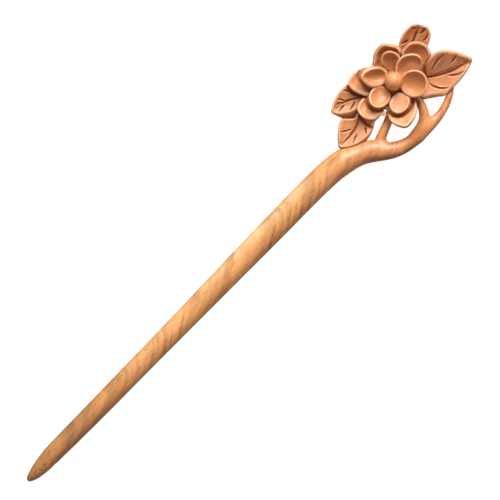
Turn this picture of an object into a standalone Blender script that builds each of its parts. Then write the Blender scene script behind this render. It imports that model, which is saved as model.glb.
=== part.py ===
"""Carved wooden hair pin: a tapered round shaft that curves into a branch with three twigs,
carrying a two-tiered flower with a ball centre and four leaves.

The pin lies on its back. +X runs along the shaft from the point to the flower, +Y is the side
the flower leans to, +Z is the carved face. The origin is at the centre of the length and width,
on the surface the pin lies on. Lengths below are in millimetres and are scaled once, at the end
of each builder, to Blender's metres.
"""

import math

import bmesh
import bpy
import numpy as np
from mathutils import Matrix, Vector

MM = 0.001

# Driving dimensions
GAP = 0.3  # clearance between a carved element and its neighbour
ROOM = 0.38  # swelling of a clearance cutter, which leaves at least the gap at its corners
FLOWER = Vector((68.8, 3.7))  # the flower's axis, seen from above
SHAFT_SIDES = 7  # bevel resolution of the shaft and branch
TWIG_SIDES = 3  # bevel resolution of the twigs
VEIN_SIDES = 1  # bevel resolution of the vein grooves
STEP_LONG = 6.0  # ring spacing along the straight shaft
STEP_SHORT = 1.6  # ring spacing where the stem bends or tapers
BEND_START = 12  # the stem point from which the leaves and petals stand over it

FLANGE_R, FLANGE_TOP = 5.2, 3.0  # the flower's foot, flat at the back
LOWER_NECK_R, LOWER_NECK_TOP = 3.3, 5.9  # what the lower petals grow from
UPPER_NECK_R, UPPER_NECK_TOP = 2.4, 8.0  # what the upper petals grow from
BOSS_R, BOSS_CENTRE_Z = 2.75, 8.75

PETAL_SIDES = 28
WIDEST_SECTOR = math.radians(116)  # what a petal may take up where its neighbours are far off
LEAF_SIDES = 40
GROOVE_R = 0.42  # a vein's cutter, whose middle runs over the leaf's face
GROOVE_LIFT = 0.3  # how far over it, as a share of the cutter's radius
GROOVE_TAPER = 0.6  # the cutter's size at a vein's last point, as a share of its full size

# The main stem from the point of the pin to the outer twig: x, y, radius, height of the underside
STEM = [
    (-90.0, -1.95, 0.35, 1.40),
    (-89.7, -1.95, 0.85, 1.00),
    (-88.8, -1.96, 1.36, 0.62),
    (-87.0, -1.96, 1.90, 0.32),
    (-84.5, -1.88, 2.34, 0.14),
    (-81.0, -1.72, 2.64, 0.04),
    (-76.0, -1.70, 2.82, 0.0),
    (-60.0, -1.72, 3.02, 0.0),
    (-40.0, -1.62, 3.14, 0.0),
    (-15.0, -1.48, 3.41, 0.0),
    (5.0, -1.34, 3.68, 0.0),
    (28.0, -1.26, 3.83, 0.0),
    (36.0, -1.45, 3.88, 0.0),
    (40.5, -2.00, 3.88, 0.0),
    (44.4, -3.20, 3.54, 0.0),
    (48.0, -5.15, 3.08, 0.12),
    (51.0, -7.40, 2.82, 0.30),
    (54.0, -9.62, 2.52, 0.60),
    (57.0, -11.25, 2.20, 0.95),
    (60.0, -12.20, 2.02, 1.15),
    (63.0, -12.42, 2.06, 1.20),
    (66.5, -12.42, 2.00, 1.20),
    (69.0, -12.68, 1.60, 1.20),
    (72.0, -12.50, 1.27, 1.10),
    (75.0, -11.78, 1.15, 1.00),
    (77.4, -10.78, 1.02, 0.80),
    (79.3, -9.85, 0.82, 0.74),
    (80.9, -8.60, 0.62, 0.78),
]
LEFT_TWIG = [
    (49.6, -7.00, 2.30, 0.80),
    (52.2, -6.15, 1.95, 1.10),
    (54.6, -4.90, 1.42, 1.50),
    (57.4, -3.75, 1.12, 1.65),
    (60.2, -2.66, 1.10, 1.60),
    (62.4, -1.30, 1.12, 1.30),
    (64.25, 0.25, 1.15, 1.00),
]
MIDDLE_TWIG = [
    (63.2, -12.20, 1.66, 1.30),
    (65.8, -11.30, 1.68, 1.45),
    (67.9, -9.40, 1.57, 1.70),
    (69.1, -7.25, 1.40, 1.75),
    (69.7, -5.10, 1.32, 1.40),
    (69.8, -3.40, 1.30, 1.10),
    (69.6, -2.10, 1.30, 0.95),
]

# Petals: name, centre x, centre y, direction in degrees, half length, half width.
UPPER_PETALS = [
    ("petal_upper_1", 72.3, 8.7, 68, 3.3, 2.9),
    ("petal_upper_2", 75.5, 4.1, -3, 4.1, 3.1),
    ("petal_upper_3", 72.4, -1.1, -62, 4.5, 3.9),
    ("petal_upper_4", 65.4, -1.4, -115, 3.1, 3.05),
    ("petal_upper_5", 62.7, 3.6, 180, 3.4, 3.05),
    ("petal_upper_6", 66.2, 8.8, 128, 4.1, 3.45),
]
LOWER_PETALS = [
    ("petal_lower_1", 72.8, 9.6, 68, 4.9, 4.75),
    ("petal_lower_2", 78.6, 4.7, 5, 4.65, 4.2),
    ("petal_lower_3", 64.5, -3.45, -118, 5.5, 4.6),
    ("petal_lower_4", 58.6, 3.5, 180, 3.9, 3.4),
    ("petal_lower_5", 62.8, 9.9, 135, 4.3, 4.15),
]

# A petal's section from the middle of its bowl, over the rim, to the middle of its back:
# share of the half width, height in millimetres above the bowl.
UPPER_SECTION = [
    (0.0, 0.0), (0.35, 0.22), (0.65, 0.95), (0.84, 1.75), (0.93, 1.95), (1.0, 1.6),
    (0.93, 0.6), (0.72, -0.35), (0.4, -0.95), (0.0, -1.15),
]  # fmt: skip
LOWER_SECTION = [
    (0.0, 0.0), (0.35, 0.12), (0.62, 0.55), (0.82, 1.3), (0.92, 1.5), (1.0, 1.15),
    (0.94, 0.25), (0.75, -0.35), (0.4, -0.8), (0.0, -0.95),
]  # fmt: skip
LEAF_SECTION = [
    (0.0, 0.0), (0.35, 0.0), (0.65, 0.1), (0.86, 0.45), (0.95, 0.5), (1.0, 0.1),
    (0.97, -0.7), (0.8, -1.35), (0.4, -1.65), (0.0, -1.7),
]  # fmt: skip
LEAF_RIM = 5  # how many of the leaf section's points are on its face, up to the crest of the rim
UPPER_BOWL_Z, UPPER_RISE = 7.6, 0.12  # bowl height, and how much it climbs outwards per mm
LOWER_BOWL_Z, LOWER_RISE = 4.85, 0.10

# Leaves: the middle, height there, rise per mm along the given direction, the outline, and the
# grooves of the midrib and side veins.
LEAVES = {
    "leaf_right": {
        "middle": (80.6, -4.3), "height": 4.1, "rise": 0.10, "toward": -24,
        "outline": [
            (73.2, -0.4), (71.6, -4.8), (73.3, -7.4), (76.1, -9.2), (79.6, -9.85), (84.0, -9.8),
            (87.6, -9.1), (90.0, -7.7), (89.4, -5.4), (87.9, -2.8), (86.2, -0.6), (84.2, 0.9),
            (82.0, 1.5), (78.5, 1.2), (75.3, 0.9),
        ],
        "veins": [
            [(76.7, -2.3), (80.0, -4.5), (84.0, -6.5), (87.8, -7.4)],
            [(79.2, -1.7), (82.0, -0.9), (84.8, -1.3)],
            [(84.2, -4.3), (87.4, -3.8)],
            [(75.9, -4.2), (76.5, -6.6), (78.5, -8.7)],
            [(81.5, -6.1), (83.0, -7.8), (85.4, -8.5)],
        ],
    },
    "leaf_top": {
        "middle": (82.3, 8.0), "height": 4.1, "rise": 0.08, "toward": 21,
        "outline": [
            (74.1, 6.2), (75.8, 8.9), (77.8, 10.3), (80.3, 11.8), (82.7, 12.15), (85.1, 11.45),
            (86.8, 9.8), (87.4, 8.2), (87.1, 6.5), (85.7, 5.0), (83.2, 4.2), (79.8, 4.3),
            (76.5, 4.9),
        ],
        "veins": [
            [(81.2, 8.1), (83.4, 8.9), (86.1, 9.9)],
            [(84.3, 8.2), (86.5, 8.2)],
            [(83.4, 6.2), (85.9, 6.5)],
        ],
    },
    "leaf_left": {
        "middle": (55.6, 9.6), "height": 4.2, "rise": 0.07, "toward": 163,
        "outline": [
            (63.6, 6.6), (61.5, 10.6), (59.4, 12.9), (57.0, 13.2), (54.0, 12.6), (51.4, 11.5),
            (49.5, 10.4), (50.1, 8.9), (50.9, 7.2), (52.3, 5.7), (54.2, 4.9), (56.5, 4.7),
            (59.6, 4.7), (62.8, 4.6),
        ],
        "veins": [
            [(51.6, 10.3), (54.6, 9.7), (57.4, 8.4)],
            [(53.7, 11.9), (54.7, 10.4)],
            [(56.7, 12.5), (57.7, 10.6)],
            [(53.9, 7.2), (56.7, 7.9)],
            [(51.4, 9.1), (53.8, 9.4)],
        ],
    },
    "leaf_bottom": {
        "middle": (50.0, 2.2), "height": 4.0, "rise": 0.05, "toward": 186,
        "outline": [
            (62.9, 3.4), (58.5, 3.9), (55.3, 3.9), (53.2, 4.3), (51.4, 5.2), (49.8, 6.8),
            (47.9, 6.0), (45.7, 4.25), (44.2, 2.3), (44.0, 1.1), (46.0, -0.9), (48.8, -2.0),
            (51.8, -2.3), (54.3, -1.8), (56.6, -0.4), (59.0, 0.4), (62.9, 1.0),
        ],
        "veins": [
            [(45.1, 1.7), (49.0, 1.7), (52.0, 2.4), (53.9, 3.5)],
            [(47.4, 4.3), (50.0, 3.0)],
            [(47.5, -0.3), (50.2, 0.6)],
        ],
    },
}  # fmt: skip

SHAFT_WOOD = ("shaft_wood", (0.72, 0.40, 0.17), 0.42)
FLOWER_WOOD = ("flower_wood", (0.62, 0.30, 0.13), 0.45)
LEAF_WOOD = ("leaf_wood", (0.66, 0.33, 0.14), 0.45)


def clear_scene():
    for obj in list(bpy.data.objects):
        bpy.data.objects.remove(obj)


def make_collection(name):
    collection = bpy.data.collections.new(name)
    bpy.context.scene.collection.children.link(collection)
    return collection


def wood(spec):
    name, colour, roughness = spec
    found = bpy.data.materials.get(name)
    if found:
        return found
    material = bpy.data.materials.new(name)
    material.use_nodes = True
    shader = material.node_tree.nodes["Principled BSDF"]
    shader.inputs["Base Color"].default_value = (*colour, 1.0)
    shader.inputs["Roughness"].default_value = roughness
    shader.inputs["Metallic"].default_value = 0.0
    material.diffuse_color = (*colour, 1.0)
    return material


def add_object(name, mesh, collection, spec):
    obj = bpy.data.objects.new(name, mesh)
    collection.objects.link(obj)
    mesh.materials.append(wood(spec))
    return obj


def mesh_from(bm, name, smooth_angle=None):
    bmesh.ops.recalc_face_normals(bm, faces=bm.faces)
    if bm.calc_volume(signed=True) < 0:
        bmesh.ops.reverse_faces(bm, faces=bm.faces)
    mesh = bpy.data.meshes.new(name)
    bm.to_mesh(mesh)
    bm.free()
    mesh.transform(Matrix.Scale(MM, 4))
    mesh.shade_smooth()
    if smooth_angle:
        mesh.set_sharp_from_angle(angle=math.radians(smooth_angle))
    return mesh


def catmull(points, i, t):
    """The point a share t of the way from points[i] to points[i + 1] on a smooth curve."""
    last = len(points) - 1
    p0, p1 = points[max(i - 1, 0)], points[i]
    p2, p3 = points[min(i + 1, last)], points[min(i + 2, last)]
    return tuple(
        0.5 * (2 * b + (c - a) * t + (2 * a - 5 * b + 4 * c - d) * t**2 + (3 * b - a - 3 * c + d) * t**3)
        for a, b, c, d in zip(p0, p1, p2, p3)
    )


def smooth_route(points):
    """Points of a smooth curve through the route, closer together where it bends or is short."""
    route = []
    for i in range(len(points) - 1):
        span = math.dist(points[i][:2], points[i + 1][:2])
        count = max(1, round(span / (STEP_LONG if span > 2 * STEP_LONG else STEP_SHORT)))
        route += [catmull(points, i, k / count) for k in range(count)]
    return route + [points[-1]]


def limb_mesh(name, points, sides, extra=0.0):
    """A round limb of changing radius along a route, as one closed mesh."""
    route = smooth_route(points)
    curve = bpy.data.curves.new(name, "CURVE")
    curve.dimensions = "3D"
    curve.bevel_depth = MM
    curve.bevel_resolution = sides
    curve.use_fill_caps = True
    spline = curve.splines.new("POLY")
    spline.points.add(len(route) - 1)
    for point, (x, y, radius, underside) in zip(spline.points, route):
        point.co = (x * MM, y * MM, (underside + radius) * MM, 1.0)
        point.radius = radius + extra
    guide = bpy.data.objects.new(name + "_guide", curve)
    bpy.context.scene.collection.objects.link(guide)
    graph = bpy.context.evaluated_depsgraph_get()
    mesh = bpy.data.meshes.new_from_object(guide.evaluated_get(graph))
    mesh.transform(guide.matrix_world)
    bpy.data.objects.remove(guide)
    bm = bmesh.new()
    bm.from_mesh(mesh)
    bmesh.ops.remove_doubles(bm, verts=bm.verts, dist=0.00001)
    bmesh.ops.recalc_face_normals(bm, faces=bm.faces)
    bm.to_mesh(mesh)
    bm.free()
    mesh.shade_smooth()
    return mesh


def make_cutter(name, mesh, cutters):
    obj = bpy.data.objects.new(name, mesh)
    cutters.objects.link(obj)
    obj.hide_render = True
    obj.display_type = "WIRE"
    return obj


def boolean(obj, other, operation):
    modifier = obj.modifiers.new(operation.lower() + "_" + other.name, "BOOLEAN")
    modifier.operation = operation
    modifier.solver = "EXACT"
    modifier.object = other


def make_stem(parts, cutters):
    """The shaft and branch in one limb, with two twigs joined to it."""
    stem = add_object("stem", limb_mesh("stem", STEM, SHAFT_SIDES), parts, SHAFT_WOOD)
    for name, points in (("left_twig", LEFT_TWIG), ("middle_twig", MIDDLE_TWIG)):
        twig = make_cutter(name, limb_mesh(name, points, TWIG_SIDES), cutters)
        boolean(stem, twig, "UNION")
    return stem


def make_stem_room(cutters):
    """Thicker copies of the stem and twigs, which cut their clearance from the leaves and petals."""
    limbs = (
        ("stem_room", STEM[BEND_START:], SHAFT_SIDES),
        ("left_twig_room", LEFT_TWIG, TWIG_SIDES),
        ("middle_twig_room", MIDDLE_TWIG, TWIG_SIDES),
    )
    return [
        make_cutter(name, limb_mesh(name, points, sides, extra=ROOM), cutters)
        for name, points, sides in limbs
    ]


def make_room(obj, cutters):
    """A copy of an element, swollen by the gap on every side, which cuts its clearance."""
    room = make_cutter(obj.name + "_room", obj.data.copy(), cutters)
    swell = room.modifiers.new("swell", "DISPLACE")
    swell.mid_level = 0.0
    swell.strength = ROOM * MM
    return room


def turned_mesh(name, profile, steps):
    """A turned solid about the flower's axis with a flat top and bottom.

    The profile is pairs of radius and height, from the top's edge to the bottom's edge.
    """
    bm = bmesh.new()
    ring = [bm.verts.new((radius, 0.0, height)) for radius, height in profile]
    edges = [bm.edges.new(pair) for pair in zip(ring, ring[1:])]
    around = {"axis": (0, 0, 1), "cent": (0, 0, 0), "angle": 2 * math.pi, "steps": steps}
    bmesh.ops.spin(bm, geom=ring + edges, use_merge=True, **around)
    bmesh.ops.remove_doubles(bm, verts=bm.verts, dist=0.001)
    bmesh.ops.holes_fill(bm, edges=bm.edges, sides=0)
    bmesh.ops.translate(bm, verts=bm.verts, vec=FLOWER.to_3d())
    return mesh_from(bm, name, smooth_angle=40)


def make_receptacle(parts):
    """The flower's foot: a flat-backed flange and two necks, which the petals and leaves grow from."""
    profile = [
        (UPPER_NECK_R, UPPER_NECK_TOP),
        (UPPER_NECK_R, LOWER_NECK_TOP),
        (LOWER_NECK_R, LOWER_NECK_TOP - 0.3),
        (LOWER_NECK_R, FLANGE_TOP + 0.5),
        (FLANGE_R - 0.6, FLANGE_TOP),
        (FLANGE_R, FLANGE_TOP - 0.6),
        (FLANGE_R, 0.6),
        (FLANGE_R - 0.6, 0.0),
    ]
    add_object("receptacle", turned_mesh("receptacle", profile, 24), parts, FLOWER_WOOD)


def make_boss(parts):
    """The ball in the middle of the flower, flat where it sits on the neck."""
    bm = bmesh.new()
    bmesh.ops.create_uvsphere(bm, u_segments=20, v_segments=12, radius=BOSS_R)
    bmesh.ops.translate(bm, verts=bm.verts, vec=(*FLOWER, BOSS_CENTRE_Z))
    floor = UPPER_NECK_TOP + GAP
    everything = bm.verts[:] + bm.edges[:] + bm.faces[:]
    cut = bmesh.ops.bisect_plane(
        bm, geom=everything, plane_co=(0, 0, floor), plane_no=(0, 0, -1), clear_outer=True
    )
    rim = [item for item in cut["geom_cut"] if isinstance(item, bmesh.types.BMEdge)]
    bmesh.ops.holes_fill(bm, edges=rim, sides=0)
    return add_object("boss", mesh_from(bm, "boss", smooth_angle=50), parts, FLOWER_WOOD)


def shaped_sphere(sides, section, place):
    """A sphere whose rings follow a section and whose points are put in place by a function.

    place(bearing, share, height) gives a point from its bearing round the element in radians,
    its share of the way out to the outline, and its height in the section.
    """
    rings = len(section) - 1
    bm = bmesh.new()
    bmesh.ops.create_uvsphere(bm, u_segments=sides, v_segments=rings, radius=1.0)
    for vert in bm.verts:
        x, y, z = vert.co
        ring = round(math.acos(max(-1.0, min(1.0, z))) / math.pi * rings)
        share, height = section[ring]
        vert.co = place(math.atan2(y, x), share, height)
    return bm


def petal_mesh(name, centre, direction, half_length, half_width, bowl_z, rise, section):
    """A petal: an egg-shaped spoon bowl that climbs away from the flower's axis."""
    turn = Matrix.Rotation(math.radians(direction), 2)

    def place(bearing, share, height):
        along = share * half_length * math.cos(bearing)
        across = share * half_width * math.sin(bearing) * (1 + 0.07 * math.cos(bearing))
        plan = Vector(centre) + turn @ Vector((along, across))
        return Vector((plan.x, plan.y, bowl_z + height + rise * along))

    return mesh_from(shaped_sphere(PETAL_SIDES, section, place), name)


def wedge_mesh(name, low_bearing, high_bearing, neck_radius):
    """An upright wedge about the flower's axis: the sector that one petal may fill.

    Its sides are moved in by half the gap, and it starts clear of the neck.
    """
    inner_radius = (neck_radius + GAP) / math.cos((high_bearing - low_bearing) / 4)
    far, top, inset = 30.0, 14.0, GAP / 2
    corners = []
    for bearing, side in ((low_bearing, 1), (high_bearing, -1)):
        out = Vector((math.cos(bearing), math.sin(bearing)))
        shift = Vector((-out.y, out.x)) * side * inset
        corners.append((FLOWER + out * inner_radius + shift, FLOWER + out * far + shift))
    (near_low, far_low), (near_high, far_high) = corners
    middle = (low_bearing + high_bearing) / 2
    out = Vector((math.cos(middle), math.sin(middle)))
    far_middle = FLOWER + out * far * 1.4
    outline = [near_low, far_low, far_middle, far_high, near_high, FLOWER + out * inner_radius]
    bm = bmesh.new()
    floor = bm.faces.new([bm.verts.new((p.x, p.y, -1.0)) for p in outline])
    made = bmesh.ops.extrude_face_region(bm, geom=[floor])
    lifted = [item for item in made["geom"] if isinstance(item, bmesh.types.BMVert)]
    bmesh.ops.translate(bm, verts=lifted, vec=(0, 0, top + 1.0))
    return mesh_from(bm, name)


def bearing_of(petal):
    """The bearing of a petal's middle from the flower's axis, in radians."""
    return math.atan2(petal[2] - FLOWER.y, petal[1] - FLOWER.x)


def make_tier(petals, bowl_z, rise, section, neck_radius, parts, cutters):
    """One ring of petals, each trimmed to its own sector along the valleys between them."""
    ordered = sorted(petals, key=bearing_of)
    bearings = [bearing_of(petal) for petal in ordered]
    turn = 2 * math.pi
    bearings = [bearings[-1] - turn, *bearings, bearings[0] + turn]
    made = []
    for petal, before, here, after in zip(ordered, bearings, bearings[1:], bearings[2:]):
        name, x, y, direction, half_length, half_width = petal
        low = max((here + before) / 2, here - WIDEST_SECTOR / 2)
        high = min((here + after) / 2, here + WIDEST_SECTOR / 2)
        mesh = petal_mesh(name, (x, y), direction, half_length, half_width, bowl_z, rise, section)
        obj = add_object(name, mesh, parts, FLOWER_WOOD)
        sector = make_cutter(name + "_sector", wedge_mesh(name, low, high, neck_radius), cutters)
        boolean(obj, sector, "INTERSECT")
        made.append(obj)
    return made


def outline_radius(outline, middle, bearing):
    """How far the smooth closed outline is from its middle along a bearing."""
    polar = sorted(
        (math.atan2(y - middle[1], x - middle[0]), math.dist((x, y), middle)) for x, y in outline
    )
    count = len(polar)
    bearings = [a for a, _ in polar]
    after = next((k for k, a in enumerate(bearings) if a > bearing), count)
    start, end = (after - 1) % count, after % count
    span = (bearings[end] - bearings[start]) % (2 * math.pi)
    share = ((bearing - bearings[start]) % (2 * math.pi)) / span
    around = [(polar[(start + k) % count][1],) for k in (-1, 0, 1, 2)]
    return catmull(around, 1, share)[0]


def leaf_mesh(name, leaf):
    """A leaf: a shallow dish with a raised rim, inside a free outline."""
    middle = leaf["middle"]
    toward = math.radians(leaf["toward"])

    def place(bearing, share, height):
        radius = share * outline_radius(leaf["outline"], middle, bearing)
        along = radius * math.cos(bearing - toward)
        x = middle[0] + radius * math.cos(bearing)
        y = middle[1] + radius * math.sin(bearing)
        return Vector((x, y, leaf["height"] + height + leaf["rise"] * along))

    return mesh_from(shaped_sphere(LEAF_SIDES, LEAF_SECTION, place), name)


def leaf_face_height(leaf, spot):
    """The height of a leaf's face at a spot seen from above."""
    middle = Vector(leaf["middle"])
    offset = Vector(spot) - middle
    bearing = math.atan2(offset.y, offset.x)
    share = offset.length / outline_radius(leaf["outline"], middle, bearing)
    shares, heights = zip(*LEAF_SECTION[:LEAF_RIM])
    along = offset.length * math.cos(bearing - math.radians(leaf["toward"]))
    return leaf["height"] + float(np.interp(share, shares, heights)) + leaf["rise"] * along


def cut_veins(obj, leaf, cutters):
    """Cuts the midrib and side veins into the face of a leaf, each finer at its last point."""
    for i, vein in enumerate(leaf["veins"]):
        limb = []
        for k, spot in enumerate(vein):
            radius = GROOVE_R * (GROOVE_TAPER if k == len(vein) - 1 else 1.0)
            limb.append((*spot, radius, leaf_face_height(leaf, spot) - radius * (1 - GROOVE_LIFT)))
        name = f"{obj.name}_vein_{i + 1}"
        boolean(obj, make_cutter(name, limb_mesh(name, limb, VEIN_SIDES), cutters), "DIFFERENCE")


def main():
    clear_scene()
    parts = make_collection("hair_pin")
    cutters = make_collection("cutters")
    make_stem(parts, cutters)
    make_receptacle(parts)
    boss_room = make_room(make_boss(parts), cutters)
    upper = make_tier(UPPER_PETALS, UPPER_BOWL_Z, UPPER_RISE, UPPER_SECTION, UPPER_NECK_R, parts, cutters)
    lower = make_tier(LOWER_PETALS, LOWER_BOWL_Z, LOWER_RISE, LOWER_SECTION, LOWER_NECK_R, parts, cutters)
    leaves = [add_object(name, leaf_mesh(name, leaf), parts, LEAF_WOOD) for name, leaf in LEAVES.items()]
    for petal in upper:
        boolean(petal, boss_room, "DIFFERENCE")
    stem_room = make_stem_room(cutters)
    petal_room = [make_room(petal, cutters) for petal in lower]
    for leaf in leaves:
        for room in stem_room + petal_room:
            boolean(leaf, room, "DIFFERENCE")
        cut_veins(leaf, LEAVES[leaf.name], cutters)
    for petal in lower:
        for room in stem_room:
            boolean(petal, room, "DIFFERENCE")


main()
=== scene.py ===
"""The looks of a carved wooden hair pin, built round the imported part.

The pin lies on its back on a pale floor. +X runs along the shaft from the point to the flower,
+Y is the side the flower leans to and +Z is the carved face. Lengths are in millimetres and are
turned into metres when a mesh is made.
"""

import math

import bmesh
import bpy
import numpy as np
from mathutils import Euler, Matrix, Vector


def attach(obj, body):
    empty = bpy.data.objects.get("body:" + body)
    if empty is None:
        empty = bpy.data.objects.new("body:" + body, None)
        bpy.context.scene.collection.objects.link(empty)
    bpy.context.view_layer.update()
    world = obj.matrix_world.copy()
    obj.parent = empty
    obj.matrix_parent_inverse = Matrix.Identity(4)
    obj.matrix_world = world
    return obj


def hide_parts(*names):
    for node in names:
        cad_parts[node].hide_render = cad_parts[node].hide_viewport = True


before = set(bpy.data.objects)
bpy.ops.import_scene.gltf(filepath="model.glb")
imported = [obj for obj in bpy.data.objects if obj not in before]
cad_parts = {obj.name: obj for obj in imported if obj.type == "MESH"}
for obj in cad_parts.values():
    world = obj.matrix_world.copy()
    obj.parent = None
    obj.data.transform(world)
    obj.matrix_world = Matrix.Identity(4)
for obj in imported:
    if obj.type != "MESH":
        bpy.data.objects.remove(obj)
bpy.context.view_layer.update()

MM = 0.001


# ---------------------------------------------------------------- camera and light

VIEW_CENTRE = (3.9, -0.9, 4.0)  # the point in the middle of the picture
VIEW_WIDTH = 147.2  # how much the picture takes in at that height
VIEW_ROLL = math.radians(-45.403)  # turns the shaft to the picture's diagonal
LENS, SENSOR = 600.0, 36.0

camera_data = bpy.data.cameras.new("camera")
camera_data.lens = LENS
camera_data.sensor_width = SENSOR
camera_data.clip_start = 0.01
camera_data.clip_end = 10.0
camera = bpy.data.objects.new("camera", camera_data)
bpy.context.scene.collection.objects.link(camera)
distance = VIEW_WIDTH * LENS / SENSOR
camera.location = Vector((VIEW_CENTRE[0], VIEW_CENTRE[1], VIEW_CENTRE[2] + distance)) * MM
camera.rotation_euler = Euler((0, 0, VIEW_ROLL))
bpy.context.scene.camera = camera

PICTURE_UP = Vector((-math.sin(VIEW_ROLL), math.cos(VIEW_ROLL), 0))


def area_light(name, toward, far, size, power, colour):
    """A soft box in the given direction from the flower, facing it."""
    data = bpy.data.lights.new(name, "AREA")
    data.shape = "SQUARE"
    data.size = size
    data.energy = power
    data.color = colour
    light = bpy.data.objects.new(name, data)
    bpy.context.scene.collection.objects.link(light)
    direction = Vector(toward).normalized()
    light.location = Vector((0.03, 0, 0)) + direction * far
    light.rotation_euler = direction.to_track_quat("Z", "Y").to_euler()


KEY_TURN = math.radians(-11)  # how far round from the picture's top the key light stands
KEY_TINT = (1.0, 1.04, 1.12)
KEY_FAR, KEY_SIZE, KEY_POWER = 1.2, 0.72, 25.0  # metres, metres and watts
KEY = Matrix.Rotation(KEY_TURN, 3, "Z") @ PICTURE_UP + Vector((0, 0, 0.82))
area_light("key_light", KEY, KEY_FAR, KEY_SIZE, KEY_POWER, KEY_TINT)

SKY_TINT = (1.0, 0.93, 0.86)  # the walls of the room give back warmer light than the lamp
SKY = ((0.0, 0.50), (1.0, 0.62), (0.36, 0.32))  # brightness from below (0) round to the key light (1)
world = bpy.data.worlds.new("studio")
bpy.context.scene.world = world
world.use_nodes = True
background = world.node_tree.nodes["Background"]
background.inputs["Strength"].default_value = 1.0
sky_from = world.node_tree.nodes.new("ShaderNodeTexCoord")
sky_dot = world.node_tree.nodes.new("ShaderNodeVectorMath")
sky_dot.operation = "DOT_PRODUCT"
sky_dot.inputs[1].default_value = (PICTURE_UP * 0.6 + Vector((0, 0, 0.8))).normalized()
sky_ramp = world.node_tree.nodes.new("ShaderNodeValToRGB")
for stop, (position, level) in enumerate(SKY):
    step = sky_ramp.color_ramp.elements[stop] if stop < 2 else sky_ramp.color_ramp.elements.new(position)
    step.position = position
    step.color = (*(level * tint for tint in SKY_TINT), 1)
sky_map = world.node_tree.nodes.new("ShaderNodeMapRange")
sky_map.inputs["From Min"].default_value = -1.0
world.node_tree.links.new(sky_from.outputs["Generated"], sky_dot.inputs[0])
world.node_tree.links.new(sky_dot.outputs["Value"], sky_map.inputs["Value"])
world.node_tree.links.new(sky_map.outputs["Result"], sky_ramp.inputs["Fac"])
world.node_tree.links.new(sky_ramp.outputs["Color"], background.inputs["Color"])
bpy.context.scene.view_settings.view_transform = "Standard"

floor_mesh = bpy.data.meshes.new("floor")
SPAN = 3.0
floor_mesh.from_pydata(
    [(-SPAN, -SPAN, 0), (SPAN, -SPAN, 0), (SPAN, SPAN, 0), (-SPAN, SPAN, 0)], [], [(0, 1, 2, 3)]
)
floor = bpy.data.objects.new("floor", floor_mesh)
bpy.context.scene.collection.objects.link(floor)
floor.location.z = -0.0001
floor_paint = bpy.data.materials.new("floor_paint")
floor_paint.use_nodes = True
floor_shader = floor_paint.node_tree.nodes["Principled BSDF"]
floor_shader.inputs["Base Color"].default_value = (0.25, 0.25, 0.25, 1)
floor_shader.inputs["Roughness"].default_value = 0.9
floor_shader.inputs["Emission Color"].default_value = (1, 1, 1, 1)
floor_shader.inputs["Emission Strength"].default_value = 0.92
floor_mesh.materials.append(floor_paint)
floor.visible_diffuse = False
floor.visible_glossy = False


# ---------------------------------------------------------------- shared geometry helpers


def catmull(values, closed, per_span):
    """Points of a smooth curve through the rows of values, per_span of them to each span."""
    values = np.asarray(values, float)
    count = len(values)
    spans = count if closed else count - 1
    made = []
    for i in range(spans):
        rows = [i - 1, i, i + 1, i + 2]
        if closed:
            p0, p1, p2, p3 = (values[k % count] for k in rows)
        else:
            p0, p1, p2, p3 = (values[min(max(k, 0), count - 1)] for k in rows)
        for t in np.arange(per_span) / per_span:
            made.append(
                0.5
                * (2 * p1 + (p2 - p0) * t + (2 * p0 - 5 * p1 + 4 * p2 - p3) * t**2 + (3 * p1 - p0 - 3 * p2 + p3) * t**3)
            )
    if not closed:
        made.append(values[-1])
    return np.array(made)


def even_closed(curve, count):
    """count points spaced evenly along a closed curve, anticlockwise."""
    area = np.sum(curve[:, 0] * np.roll(curve[:, 1], -1) - curve[:, 1] * np.roll(curve[:, 0], -1))
    if area < 0:
        curve = curve[::-1]
    loop = np.vstack([curve, curve[:1]])
    steps = np.linalg.norm(np.diff(loop, axis=0), axis=1)
    run = np.concatenate([[0], np.cumsum(steps)])
    at = np.arange(count) / count * run[-1]
    return np.stack([np.interp(at, run, loop[:, k]) for k in range(loop.shape[1])], axis=1)


def distance_to_path(xy, path):
    """Distance from each point to a polyline, and how far along it the nearest spot is, 0 to 1."""
    path = np.asarray(path, float)
    start, end = path[:-1], path[1:]
    step = end - start
    size = np.maximum((step**2).sum(axis=1), 1e-12)
    rel = xy[:, None, :] - start[None]
    t = np.clip((rel * step[None]).sum(axis=2) / size[None], 0, 1)
    gap = np.linalg.norm(rel - t[..., None] * step[None], axis=2)
    nearest = gap.argmin(axis=1)
    lengths = np.sqrt(size)
    before = np.concatenate([[0], np.cumsum(lengths)[:-1]])
    pick = np.arange(len(xy))
    along = (before[nearest] + t[pick, nearest] * lengths[nearest]) / lengths.sum()
    return gap[pick, nearest], along


def ripple(xy, wavelength, phase):
    """A smooth uneven surface between about -1 and 1, from a few crossed waves."""
    k = 2 * math.pi / wavelength
    x, y = xy[:, 0], xy[:, 1]
    return (
        np.sin(k * (0.91 * x + 0.42 * y) + phase)
        + np.sin(k * (-0.53 * x + 1.13 * y) * 0.83 + 2.1 * phase)
        + np.sin(k * (0.27 * x - 0.88 * y) * 1.37 + 0.7 * phase)
    ) / 3


def smooth_step(low, high, value):
    t = np.clip((value - low) / (high - low), 0, 1)
    return t * t * (3 - 2 * t)


def link_mesh(name, points, faces, marks=None):
    """An object from points in millimetres and faces, smooth shaded.

    marks names a value for each point, which the materials use.
    """
    mesh = bpy.data.meshes.new(name)
    mesh.from_pydata((np.asarray(points) * MM).tolist(), [], faces)
    for label, values in (marks or {}).items():
        mesh.attributes.new(label, "FLOAT", "POINT").data.foreach_set("value", values)
    mesh.validate()
    mesh.shade_smooth()
    obj = bpy.data.objects.new(name, mesh)
    bpy.context.scene.collection.objects.link(obj)
    return obj


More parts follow.
